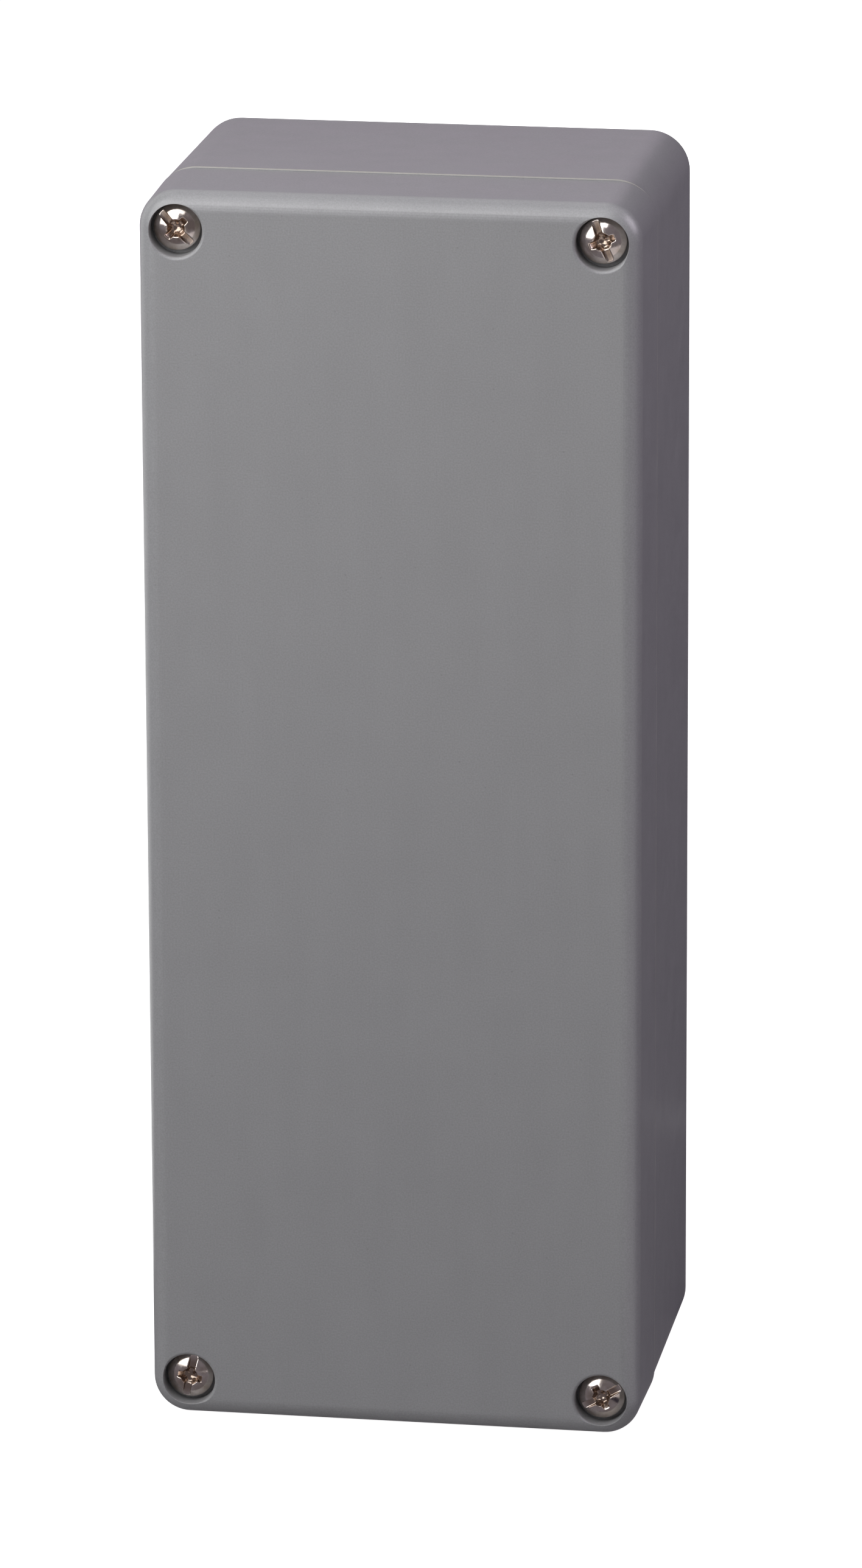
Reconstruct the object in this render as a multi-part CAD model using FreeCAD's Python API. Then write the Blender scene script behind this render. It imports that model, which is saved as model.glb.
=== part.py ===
import FreeCAD, Part

import math
import os

# Closed wall enclosure moulded in glass-filled polyester. Every size is in millimetres.
# The origin is the middle of the back face, which lies on the wall. +Z is up, +X is to the right
# as seen from the front, and the lid faces -Y.

# Outside of the two mouldings
width = 75.0
height = 190.0
depth = 55.0
lid_depth = 16.0
base_corner_radius = 6.3
lid_corner_radius = 5.8
base_draft = 0.35          # degrees
lid_draft = 1.0            # degrees
back_edge_radius = 3.0
front_edge_radius = 2.0
rim_edge_radius = 0.3      # the edge of the base's rim, which shows as a fine line
lid_rim_edge_radius = 0.15
lid_drop = 0.25            # play on the tongue, taken up by the lid's own weight

# Walls
base_floor = 4.0
lid_face = 4.0
outer_lip = 1.8            # of the lid, outside the seal groove
inner_lip = 1.5            # of the lid, inside the seal groove
cavity_draft = 0.75        # degrees
base_cavity_corner_radius = 2.5
lid_cavity_corner_radius = 1.2

# Seal
tongue_width = 1.8
tongue_height = 3.0
tongue_chamfer = 0.35
tongue_clearance = 0.6     # on each side, in the groove of the lid
gasket_clearance = 0.2     # on each side, in the same groove
gasket_thickness = 2.2
seal_outer_bend = 4.5      # radius of the seal line at its outward corners
seal_inner_bend = 3.0      # radius of the seal line where it turns round a post

# Lid screws
screw_inset = 6.0          # from each side of the enclosure
screw_thread_diameter = 3.9
screw_shank_diameter = 2.9
screw_thread_length = 8.0
screw_point_chamfer = 0.5
screw_head_diameter = 7.0
screw_head_height = 2.8
screw_head_side = 1.5      # straight side of the head, under its dome
slot_width = 1.1
slot_depth = 1.15
cross_length = 4.3
cross_width = 0.95
cross_depth = 1.7
cross_floor_share = 0.35   # the recess narrows to this share of its length
cross_socket_mouth = 2.9   # the cone in the middle of the cross
cross_socket_floor = 1.2
head_clearance = 0.6       # round the head, in its counterbore
counterbore_depth = 3.2
counterbore_chamfer = 0.3
lid_hole_clearance = 0.35  # round the thread, where it passes through the lid
lid_web = 3.8              # moulding between a screw's head and the pocket of its washer
washer_diameter = 7.4
washer_thickness = 0.8
washer_shank_clearance = 0.1
washer_pocket_clearance = 0.6

# Threaded inserts
insert_diameter = 6.2
insert_waist_depth = 0.5
insert_waist_length = 2.0
insert_setback = 0.3       # below the face that the insert opens in
thread_clearance = 0.05
post_insert_length = 9.0
tip_room = 3.5             # blind hole past the insert
tip_room_clearance = 0.1   # round the bore of the insert

# Slot direction of each lid screw seen from the front, degrees from +X towards +Z
slot_angles = {"top_left": -45.0, "top_right": -68.0, "bottom_left": 78.0, "bottom_right": 30.0}

# Wall fixing, through the corner posts and outside the seal
fixing_inset_x = 15.0      # from each side of the enclosure
fixing_inset_z = 6.0
fixing_hole_diameter = 4.8
fixing_well_diameter = 8.5
fixing_floor = 7.0
fixing_well_chamfer = 0.4
seal_to_well = 1.25        # moulding left between the groove and a well
lid_pocket_outer_wall = 3.0
lid_pocket_side_wall = 1.5
lid_pocket_corner_radius = 1.2
lid_pocket_roof_radius = 0.6

# Floor bosses and their inserts
plate_inset_x = 12.5       # from each side of the enclosure
plate_inset_z = 25.0
rail_inset = 15.0          # from the top and the bottom
boss_wall = 1.4            # round the insert
boss_height = 6.0
boss_draft = 1.5           # degrees
boss_foot_radius = 1.0
floor_insert_length = 7.0

# Sizes that follow from the fits
insert_bore = screw_thread_diameter + 2 * thread_clearance
tip_room_diameter = insert_bore + 2 * tip_room_clearance
counterbore_diameter = screw_head_diameter + 2 * head_clearance
lid_hole_diameter = screw_thread_diameter + 2 * lid_hole_clearance
washer_bore = screw_shank_diameter + 2 * washer_shank_clearance
washer_pocket_diameter = washer_diameter + 2 * washer_pocket_clearance
groove_width = tongue_width + 2 * tongue_clearance
gasket_width = groove_width - 2 * gasket_clearance
boss_diameter = insert_diameter + 2 * boss_wall

# Half the spacing of each pattern
screw_x = width / 2 - screw_inset
screw_z = height / 2 - screw_inset
fixing_x = width / 2 - fixing_inset_x
fixing_z = height / 2 - fixing_inset_z
plate_x = width / 2 - plate_inset_x
plate_z = height / 2 - plate_inset_z
rail_z = height / 2 - rail_inset

# Places along Y that the pieces share
parting = -(depth - lid_depth)
lid_front = -depth
tongue_tip = parting - tongue_height
gasket_back = tongue_tip
groove_floor = gasket_back - gasket_thickness
lid_cavity_roof = lid_front + lid_face
screw_seat = lid_front + counterbore_depth
washer_back = parting
washer_front = washer_back - washer_thickness
washer_pocket_roof = screw_seat + lid_web
thread_tip = washer_back + screw_thread_length
boss_top = -(base_floor + boss_height)
post_insert_tip = parting + insert_setback + post_insert_length

# The seal line in the first quarter: a side, a jog round the post and the end of the middle bay
groove_outside = groove_width / 2
well_edge_x = fixing_x - fixing_well_diameter / 2
well_edge_z = fixing_z - fixing_well_diameter / 2
seal_side = width / 2 - outer_lip - groove_outside
seal_end = height / 2 - outer_lip - groove_outside
seal_bay = well_edge_x - seal_to_well - groove_outside
seal_jog = well_edge_z - seal_to_well - groove_outside

CORNERS = {
    "top_left": (-1, 1),
    "top_right": (1, 1),
    "bottom_left": (-1, -1),
    "bottom_right": (1, -1),
}
OUT = FreeCAD.Vector(0, -1, 0)
NEAR = 0.01


def inset_by_draft(length, degrees):
    """How far a wall of this length leans in."""
    return length * math.tan(math.radians(degrees))


def place(x, y, z):
    return FreeCAD.Vector(x, y, z)


def rounded_loop(corners, y):
    """A closed wire at depth y through square corners given as (x, z, radius)."""
    points = [place(x, y, z) for x, z, _ in corners]
    edges = []
    starts = []
    ends = []
    arcs = []
    for i, (_, _, radius) in enumerate(corners):
        corner = points[i]
        back = (points[i - 1] - corner).normalize()
        ahead = (points[(i + 1) % len(points)] - corner).normalize()
        start = corner + back * radius
        end = corner + ahead * radius
        middle = corner + (back + ahead) * (radius * (1 - math.sqrt(0.5)))
        starts.append(start)
        ends.append(end)
        arcs.append(Part.Arc(start, middle, end).toShape())
    for i, arc in enumerate(arcs):
        edges.append(arc)
        edges.append(Part.makeLine(ends[i], starts[(i + 1) % len(arcs)]))
    return Part.Wire(edges)


def rectangle_loop(half_x, half_z, radius, y):
    corners = [(half_x, half_z), (half_x, -half_z), (-half_x, -half_z), (-half_x, half_z)]
    return rounded_loop([(x, z, radius) for x, z in corners], y)


def seal_loop(offset, y):
    """The seal line, moved outwards by offset. It turns round the four corner posts."""
    bay = seal_bay + offset
    jog = seal_jog + offset
    outward = seal_outer_bend + offset
    inward = seal_inner_bend - offset
    quarter = [
        (bay, seal_end + offset, outward),
        (bay, jog, inward),
        (seal_side + offset, jog, outward),
    ]
    right = quarter + [(x, -z, r) for x, z, r in reversed(quarter)]
    left = [(-x, z, r) for x, z, r in reversed(right)]
    return rounded_loop(right + left, y)


def prism(wire, length):
    """A straight block on a wire, running length along +Y."""
    return Part.Face(wire).extrude(place(0, length, 0))


def tapered(first, last):
    """A block with leaning walls between two wires of the same kind."""
    return Part.makeLoft([first, last], True, True)


def rod(diameter, x, z, y_front, y_back):
    """A round bar along Y."""
    return Part.makeCylinder(diameter / 2, y_back - y_front, place(x, y_front, z), place(0, 1, 0))


def flare(diameter, size, x, z, y):
    """A chamfer round the mouth of a hole that opens towards -Y."""
    radius = diameter / 2
    return Part.makeCone(radius + size, radius, size, place(x, y, z), place(0, 1, 0))


def flat_edges(shape, y):
    """The edges that lie wholly at depth y."""
    return [e for e in shape.Edges if e.BoundBox.YMin > y - NEAR and e.BoundBox.YMax < y + NEAR]


def rounded_edges(shape, y, radius):
    return shape.makeFillet(radius, flat_edges(shape, y))


def chamfered_edges(shape, y, size):
    return shape.makeChamfer(size, flat_edges(shape, y))


def corner_places(x, z):
    """The four named corners of a rectangle of this half size, as (name, x, z)."""
    return [(name, sx * x, sz * z) for name, (sx, sz) in CORNERS.items()]


def floor_places():
    """Every floor boss, as (name of its insert, x, z)."""
    plate = [(f"plate_insert_{name}", x, z) for name, x, z in corner_places(plate_x, plate_z)]
    return plate + [("rail_insert_top", 0.0, rail_z), ("rail_insert_bottom", 0.0, -rail_z)]


def insert_body(x, z, mouth, length):
    """Outside of a moulded-in insert: a bar with a waist that the resin grips."""
    y_front = mouth + insert_setback
    waist_front = y_front + (length - insert_waist_length) / 2
    body = rod(insert_diameter, x, z, y_front, y_front + length)
    ring = rod(insert_diameter, x, z, waist_front, waist_front + insert_waist_length)
    core = rod(insert_diameter - 2 * insert_waist_depth, x, z, waist_front, waist_front + insert_waist_length)
    return body.cut(ring.cut(core))


def insert(x, z, mouth, length):
    y_front = mouth + insert_setback
    return insert_body(x, z, mouth, length).cut(rod(insert_bore, x, z, y_front, y_front + length))


def insert_hole(x, z, mouth, length):
    """What an insert leaves free in the moulding: its own body and its setback."""
    return insert_body(x, z, mouth, length).fuse(rod(insert_diameter, x, z, mouth, mouth + insert_setback))


def base_shell():
    """Outside of the base: leaning walls, a rounded back edge and a fine rounded rim."""
    inset = inset_by_draft(-parting, base_draft)
    block = tapered(
        rectangle_loop(width / 2, height / 2, base_corner_radius, parting),
        rectangle_loop(width / 2 - inset, height / 2 - inset, base_corner_radius - inset, 0.0),
    )
    block = rounded_edges(block, 0.0, back_edge_radius)
    return rounded_edges(block, parting, rim_edge_radius)


def base_tongue():
    """The raised land that presses the gasket, filled until the cavity is cut."""
    land = prism(seal_loop(tongue_width / 2, tongue_tip), tongue_height)
    return chamfered_edges(land, tongue_tip, tongue_chamfer)


def base_cavity():
    """The room inside the base, flush with the inner side of the tongue."""
    inset = inset_by_draft(-base_floor - tongue_tip, cavity_draft)
    room = tapered(
        seal_loop(-tongue_width / 2, tongue_tip),
        seal_loop(-tongue_width / 2 - inset, -base_floor),
    )
    return rounded_edges(room, -base_floor, base_cavity_corner_radius)


def floor_boss(x, z):
    top_radius = boss_diameter / 2
    foot_radius = top_radius + inset_by_draft(boss_height, boss_draft)
    return Part.makeCone(foot_radius, top_radius, boss_height, place(x, -base_floor, z), OUT)


def boss_foot_edges(shape):
    foot_radius = boss_diameter / 2 + inset_by_draft(boss_height, boss_draft)
    found = []
    for edge in flat_edges(shape, -base_floor):
        if hasattr(edge.Curve, "Radius") and abs(edge.Curve.Radius - foot_radius) < NEAR:
            found.append(edge)
    return found


def fixing_well(x, z):
    """Room for the head of a wall screw, and the hole for its shank."""
    well = rod(fixing_well_diameter, x, z, parting, -fixing_floor)
    mouth = flare(fixing_well_diameter, fixing_well_chamfer, x, z, parting)
    return well.fuse([mouth, rod(fixing_hole_diameter, x, z, -fixing_floor, 0.0)])


def base():
    shape = base_shell().fuse(base_tongue()).cut(base_cavity())
    for _, x, z in floor_places():
        shape = shape.fuse(floor_boss(x, z))
    shape = shape.makeFillet(boss_foot_radius, boss_foot_edges(shape))
    for _, x, z in corner_places(fixing_x, fixing_z):
        shape = shape.cut(fixing_well(x, z))
    for _, x, z in corner_places(screw_x, screw_z):
        shape = shape.cut(insert_hole(x, z, parting, post_insert_length))
        shape = shape.cut(rod(tip_room_diameter, x, z, parting, post_insert_tip + tip_room))
    for _, x, z in floor_places():
        shape = shape.cut(insert_hole(x, z, boss_top, floor_insert_length))
    return shape


def lid_shell():
    """Outside of the lid: leaning sides and a rounded front edge."""
    inset = inset_by_draft(lid_depth, lid_draft)
    block = tapered(
        rectangle_loop(width / 2 - inset, height / 2 - inset, lid_corner_radius - inset, lid_front),
        rectangle_loop(width / 2, height / 2, lid_corner_radius, parting),
    )
    block = rounded_edges(block, lid_front, front_edge_radius)
    return rounded_edges(block, parting, lid_rim_edge_radius)


def lid_cavity():
    inset = inset_by_draft(parting - lid_cavity_roof, cavity_draft)
    edge = -groove_width / 2 - inner_lip
    room = tapered(seal_loop(edge - inset, lid_cavity_roof), seal_loop(edge, parting))
    return rounded_edges(room, lid_cavity_roof, lid_cavity_corner_radius)


def seal_groove():
    """The groove that takes the gasket and then the tongue."""
    outside = prism(seal_loop(groove_width / 2, groove_floor), parting - groove_floor)
    return outside.cut(prism(seal_loop(-groove_width / 2, groove_floor), parting - groove_floor))


def well_pocket(side_x, side_z):
    """Room in the lid over a wall screw, which also keeps the moulding from being thick."""
    low_x = side_x * well_edge_x
    high_x = side_x * (screw_x - washer_pocket_diameter / 2 - lid_pocket_side_wall)
    low_z = side_z * well_edge_z
    high_z = side_z * (height / 2 - lid_pocket_outer_wall)
    corners = [
        (x, z, lid_pocket_corner_radius)
        for x, z in ((low_x, low_z), (high_x, low_z), (high_x, high_z), (low_x, high_z))
    ]
    block = prism(rounded_loop(corners, lid_cavity_roof), parting - lid_cavity_roof)
    return rounded_edges(block, lid_cavity_roof, lid_pocket_roof_radius)


def screw_way(x, z):
    """Through the lid for one screw: counterbore, hole and the pocket that its washer moves in."""
    bore = rod(counterbore_diameter, x, z, lid_front, screw_seat)
    mouth = flare(counterbore_diameter, counterbore_chamfer, x, z, lid_front)
    hole = rod(lid_hole_diameter, x, z, screw_seat, washer_pocket_roof)
    pocket = rod(washer_pocket_diameter, x, z, washer_pocket_roof, parting)
    return bore.fuse([mouth, hole, pocket])


def lid():
    shape = lid_shell().cut(lid_cavity()).cut(seal_groove())
    for side_x, side_z in CORNERS.values():
        shape = shape.cut(well_pocket(side_x, side_z))
    for _, x, z in corner_places(screw_x, screw_z):
        shape = shape.cut(screw_way(x, z))
    shape.translate(place(0, 0, -lid_drop))
    return shape


def gasket():
    outside = prism(seal_loop(gasket_width / 2, groove_floor), gasket_thickness)
    ring = outside.cut(prism(seal_loop(-gasket_width / 2, groove_floor), gasket_thickness))
    ring.translate(place(0, 0, -lid_drop))
    return ring


def screw_head():
    """Head on the Y axis with its underside at y = 0: straight side, then a dome."""
    radius = screw_head_diameter / 2
    dome = screw_head_height - screw_head_side
    centre = (radius ** 2 - dome ** 2) / (2 * dome)
    sphere_radius = centre + dome
    half_angle = math.asin(radius / sphere_radius) / 2
    middle_x = sphere_radius * math.sin(half_angle)
    middle_y = -screw_head_side + centre - sphere_radius * math.cos(half_angle)
    outline = Part.Wire([
        Part.makeLine(place(0, 0, 0), place(radius, 0, 0)),
        Part.makeLine(place(radius, 0, 0), place(radius, -screw_head_side, 0)),
        Part.Arc(
            place(radius, -screw_head_side, 0),
            place(middle_x, middle_y, 0),
            place(0, -screw_head_height, 0),
        ).toShape(),
        Part.makeLine(place(0, -screw_head_height, 0), place(0, 0, 0)),
    ])
    return Part.Face(outline).revolve(place(0, 0, 0), place(0, 1, 0), 360)


def cross_wing():
    """One tapered wing of the cross recess, along X."""
    top = -screw_head_height
    floor = top + cross_depth
    loops = []
    for y, share in ((top, 1.0), (floor, cross_floor_share)):
        x = cross_length / 2 * share
        z = cross_width / 2 * (1 + share) / 2
        loops.append(Part.makePolygon([
            place(x, y, z), place(x, y, -z), place(-x, y, -z), place(-x, y, z), place(x, y, z),
        ]))
    return Part.makeLoft(loops, True, True)


def drive_recess():
    """A slot right across the head, and a cross recess with a conical socket in the middle of it."""
    slot = Part.makeBox(
        screw_head_diameter, slot_depth, slot_width,
        place(-screw_head_diameter / 2, -screw_head_height, -slot_width / 2),
    )
    wing = cross_wing()
    across = wing.copy()
    across.rotate(place(0, 0, 0), place(0, 1, 0), 90)
    socket = Part.makeCone(
        cross_socket_mouth / 2, cross_socket_floor / 2, cross_depth,
        place(0, -screw_head_height, 0), place(0, 1, 0),
    )
    return slot.fuse([wing, across, socket])


def lid_screw(x, z, slot_angle):
    head = screw_head().cut(drive_recess())
    head.rotate(place(0, 0, 0), OUT, slot_angle)
    head.translate(place(x, screw_seat, z))
    shank = rod(screw_shank_diameter, x, z, screw_seat, washer_back)
    thread = rod(screw_thread_diameter, x, z, washer_back, thread_tip)
    thread = chamfered_edges(thread, thread_tip, screw_point_chamfer)
    return head.fuse(shank).fuse(thread).removeSplitter()


def retaining_washer(x, z):
    disc = rod(washer_diameter, x, z, washer_front, washer_back)
    return disc.cut(rod(washer_bore, x, z, washer_front, washer_back))


def nodes():
    """Every piece of the enclosure under its own name."""
    pieces = {"base": base(), "lid": lid(), "gasket": gasket()}
    for name, x, z in corner_places(screw_x, screw_z):
        pieces[f"lid_screw_{name}"] = lid_screw(x, z, slot_angles[name])
        pieces[f"retaining_washer_{name}"] = retaining_washer(x, z)
        pieces[f"post_insert_{name}"] = insert(x, z, parting, post_insert_length)
    for name, x, z in floor_places():
        pieces[name] = insert(x, z, boss_top, floor_insert_length)
    return pieces


os.makedirs("parts", exist_ok=True)
for node, piece in nodes().items():
    solids = piece.Solids
    if len(solids) != 1 or not piece.isValid():
        raise ValueError(f"{node} is not one sound solid")
    solids[0].exportStep(f"parts/{node}.step")
    print(f"{node}: {solids[0].Volume / 1000:.2f} cm3")
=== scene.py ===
"""Looks of a small sealed wall enclosure of grey moulded polyester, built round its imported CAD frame."""

import logging
import math
from dataclasses import dataclass
from enum import Enum
from typing import Iterable, Sequence

import bmesh
import bpy
from mathutils import Matrix, Vector


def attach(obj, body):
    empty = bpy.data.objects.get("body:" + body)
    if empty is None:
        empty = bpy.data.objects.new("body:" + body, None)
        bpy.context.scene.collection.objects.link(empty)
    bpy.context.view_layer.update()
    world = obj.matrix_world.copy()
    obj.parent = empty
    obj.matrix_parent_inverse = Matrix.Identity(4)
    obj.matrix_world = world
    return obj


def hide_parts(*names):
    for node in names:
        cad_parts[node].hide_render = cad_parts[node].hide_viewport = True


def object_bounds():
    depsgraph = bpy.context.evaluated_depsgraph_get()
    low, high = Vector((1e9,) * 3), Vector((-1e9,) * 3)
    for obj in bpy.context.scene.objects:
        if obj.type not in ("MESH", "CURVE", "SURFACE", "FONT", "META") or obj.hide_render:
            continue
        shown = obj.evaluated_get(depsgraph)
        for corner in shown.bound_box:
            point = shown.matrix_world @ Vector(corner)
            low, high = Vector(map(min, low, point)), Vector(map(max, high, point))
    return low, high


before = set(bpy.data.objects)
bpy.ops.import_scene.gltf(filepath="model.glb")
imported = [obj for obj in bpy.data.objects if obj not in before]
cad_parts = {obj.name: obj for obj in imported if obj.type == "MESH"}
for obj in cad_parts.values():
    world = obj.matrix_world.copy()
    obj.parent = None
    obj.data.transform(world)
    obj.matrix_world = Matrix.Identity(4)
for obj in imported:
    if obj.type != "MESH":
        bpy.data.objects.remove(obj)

CAD_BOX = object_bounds()
LOG = logging.getLogger("enclosure")

MM = 0.001
HAIR = 0.001 * MM
# How far a cutting tool reaches past the face that it cuts.
PAST = 1 * MM
ROUND_STEPS = 96
ARC_STEPS = 14
THREAD_STEPS = 36
CREASE = math.radians(32)
FLAT = math.radians(0.1)
BEHIND = Vector((0, 1, 0))
FRONT = Vector((0, -1, 0))

Piece = bpy.types.Object
Mesh = bmesh.types.BMesh
Tree = bpy.types.NodeTree
Socket = bpy.types.NodeSocket
Spot = tuple[float, float, float]
Point = tuple[float, float]
Turning = tuple[Sequence[Point], Vector]


class Corner(Enum):
    """A corner of the enclosure seen from the front: its name, its side along X and its side along Z."""

    TOP_LEFT = ("top_left", -1, 1)
    TOP_RIGHT = ("top_right", 1, 1)
    BOTTOM_LEFT = ("bottom_left", -1, -1)
    BOTTOM_RIGHT = ("bottom_right", 1, -1)

    @property
    def label(self) -> str:
        """Name of the corner, as the CAD nodes and bodies end."""
        return self.value[0]

    def place(self, half: Point, depth: float = 0.0) -> Vector:
        """The point of this corner in a rectangle of the half size (x, z), at a depth along Y."""
        return Vector((self.value[1] * half[0], depth, self.value[2] * half[1]))


class Joining(Enum):
    """How one solid changes another."""

    CUT = "DIFFERENCE"
    ADD = "UNION"
    COMMON = "INTERSECT"


def shown(name: str, data: bpy.types.ID) -> Piece:
    """Makes an object of the scene, at the origin.

    Args:
        name: Its name.
        data: The mesh, light or lens that it holds.

    Returns:
        The object.
    """
    made = bpy.data.objects.new(name, data)
    bpy.context.scene.collection.objects.link(made)
    return made


def solid(name: str, bm: Mesh) -> Piece:
    """Turns a bmesh into an object of the scene, with its faces pointing outwards.

    Args:
        name: Name of the object.
        bm: Mesh that was built. It is freed here.

    Returns:
        The object, at the origin.
    """
    bmesh.ops.remove_doubles(bm, verts=bm.verts, dist=HAIR)
    bmesh.ops.recalc_face_normals(bm, faces=bm.faces)
    mesh = bpy.data.meshes.new(name)
    bm.to_mesh(mesh)
    bm.free()
    return shown(name, mesh)


def settle(piece: Piece) -> None:
    """Makes the result of a piece's modifiers its own mesh.

    Args:
        piece: The piece.
    """
    graph = bpy.context.evaluated_depsgraph_get()
    before = piece.data
    piece.data = bpy.data.meshes.new_from_object(piece.evaluated_get(graph))
    piece.modifiers.clear()
    bpy.data.meshes.remove(before)


def discard(piece: Piece) -> None:
    """Removes a piece that was only a tool or a pattern for copies.

    Args:
        piece: The piece.
    """
    used = piece.data
    bpy.data.objects.remove(piece)
    bpy.data.meshes.remove(used)


def bevel(
    bm: Mesh, parts: list, width: float, steps: int, affect: str = "EDGES", clamp: bool = False,
) -> None:
    """Rounds edges or corners of a mesh.

    Args:
        bm: Mesh being built.
        parts: The edges or corners.
        width: Size of the rounding.
        steps: Faces across it; 1 gives a chamfer.
        affect: EDGES or VERTICES.
        clamp: True to make it smaller where two roundings meet.
    """
    bmesh.ops.bevel(
        bm, geom=parts, offset=width, offset_type="OFFSET", segments=steps, profile=0.5, affect=affect,
        clamp_overlap=clamp, material=-1,
    )


def cut_away(bm: Mesh, place: Sequence[float], way: Vector) -> None:
    """Cuts off what lies past a plane through a place, on the side that the way points to."""
    everything = bm.verts[:] + bm.edges[:] + bm.faces[:]
    bmesh.ops.bisect_plane(bm, geom=everything, plane_co=place, plane_no=way, clear_outer=True)


def join(piece: Piece, tool: Piece, how: Joining) -> None:
    """Cuts, adds or keeps the common part of a solid and a tool, which is used up.

    Args:
        piece: Solid that is changed.
        tool: Solid that changes it.
        how: What is done.
    """
    modifier = piece.modifiers.new(how.name, "BOOLEAN")
    modifier.object = tool
    modifier.operation = how.value
    modifier.solver = "EXACT"
    settle(piece)
    discard(tool)


def wear(piece: Piece, width: float) -> None:
    """Rounds the sharp edges of a solid a little, as the punch does.

    Args:
        piece: Solid to finish.
        width: Width of the rounding.
    """
    bm = bmesh.new()
    bm.from_mesh(piece.data)
    bmesh.ops.dissolve_limit(bm, angle_limit=FLAT, verts=bm.verts, edges=bm.edges)
    bevel(bm, [e for e in bm.edges if e.calc_face_angle(0) > CREASE], width, 2, clamp=True)
    bm.to_mesh(piece.data)
    bm.free()


def soften(piece: Piece, grain: float, passes: int) -> None:
    """Remakes a solid from small even faces and smooths it, as cold forming leaves every edge round.

    Args:
        piece: Solid to finish.
        grain: Size of the faces.
        passes: How often each corner moves halfway to the middle of its neighbours.
    """
    even = piece.modifiers.new("Even faces", "REMESH")
    even.mode = "VOXEL"
    even.voxel_size = grain
    settle(piece)
    bm = bmesh.new()
    bm.from_mesh(piece.data)
    for _ in range(passes):
        bmesh.ops.smooth_vert(
            bm, verts=bm.verts, factor=0.5, use_axis_x=True, use_axis_y=True, use_axis_z=True,
        )
    bm.to_mesh(piece.data)
    bm.free()


def polish(piece: Piece) -> None:
    """Shades a finished solid smooth between its creases, with flat faces kept flat.

    Args:
        piece: The solid.
    """
    piece.data.shade_smooth()
    piece.data.set_sharp_from_angle(angle=CREASE)
    even = piece.modifiers.new("Even normals", "WEIGHTED_NORMAL")
    even.keep_sharp = True
    settle(piece)


def at_depth(parts: Iterable, depth: float) -> list:
    """Those of the edges or faces that lie wholly at a depth along Y."""
    return [part for part in parts if all(abs(v.co.y - depth) < HAIR for v in part.verts)]


def round_off(bm: Mesh, depth: float, radius: float, steps: int) -> None:
    """Rounds the edges that lie at a depth along Y, with this many faces across; 1 gives a chamfer."""
    bm.normal_update()
    bevel(bm, [e for e in at_depth(bm.edges, depth) if e.calc_face_angle(0) > CREASE], radius, steps)


def outline(bm: Mesh, corners: Sequence[Spot], depth: float) -> list[bmesh.types.BMEdge]:
    """Adds a flat face with rounded corners.

    Args:
        bm: Mesh being built.
        corners: Each square corner as (x, z, radius), in order.
        depth: Where the face lies along Y.

    Returns:
        The edges round the face.
    """
    verts = [bm.verts.new((x, depth, z)) for x, z, _ in corners]
    bm.faces.new(verts)
    for radius in {radius for _, _, radius in corners}:
        group = [v for v, (_, _, r) in zip(verts, corners) if r == radius]
        bevel(bm, group, radius, ARC_STEPS, "VERTICES")
    return at_depth(bm.edges, depth)


def block(first: Sequence[Spot], first_depth: float, last: Sequence[Spot], last_depth: float) -> Mesh:
    """A closed block between two outlines with the same corners, whose walls may lean.

    Args:
        first: Corners of one end.
        first_depth: Its depth along Y.
        last: Corners of the other end.
        last_depth: Its depth along Y.

    Returns:
        The block.
    """
    bm = bmesh.new()
    near = outline(bm, first, first_depth)
    far = outline(bm, last, last_depth)
    bmesh.ops.bridge_loops(bm, edges=near + far)
    bmesh.ops.recalc_face_normals(bm, faces=bm.faces)
    return bm


def rectangle(half_x: float, half_z: float, radius: float) -> list[Spot]:
    """Corners of a rounded rectangle of this half size, for an outline."""
    sides = ((1, 1), (1, -1), (-1, -1), (-1, 1))
    return [(x * half_x, z * half_z, radius) for x, z in sides]


def lathe(bm: Mesh, profile: Sequence[Point], axis: Vector, closed: bool = False) -> None:
    """Turns a profile round an axis along Y.

    Args:
        bm: Mesh that gets the turned shape.
        profile: Points as (radius, depth along Y).
        axis: A point of the axis.
        closed: True for a ring, whose last point joins the first.
    """
    verts = [bm.verts.new((axis.x + radius, depth, axis.z)) for radius, depth in profile]
    pairs = list(zip(verts, verts[1:])) + ([(verts[-1], verts[0])] if closed else [])
    edges = [bm.edges.new(pair) for pair in pairs]
    bmesh.ops.spin(
        bm, geom=verts + edges, cent=(axis.x, 0, axis.z), axis=BEHIND, angle=2 * math.pi,
        steps=ROUND_STEPS, use_merge=True,
    )


def turned(name: str, turnings: Iterable[Turning]) -> Piece:
    """One object of several turned solids that don't touch.

    Args:
        name: Name of the object.
        turnings: Each solid as (profile, point of its axis).

    Returns:
        The object.
    """
    bm = bmesh.new()
    for profile, axis in turnings:
        lathe(bm, profile, axis)
    return solid(name, bm)


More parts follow.
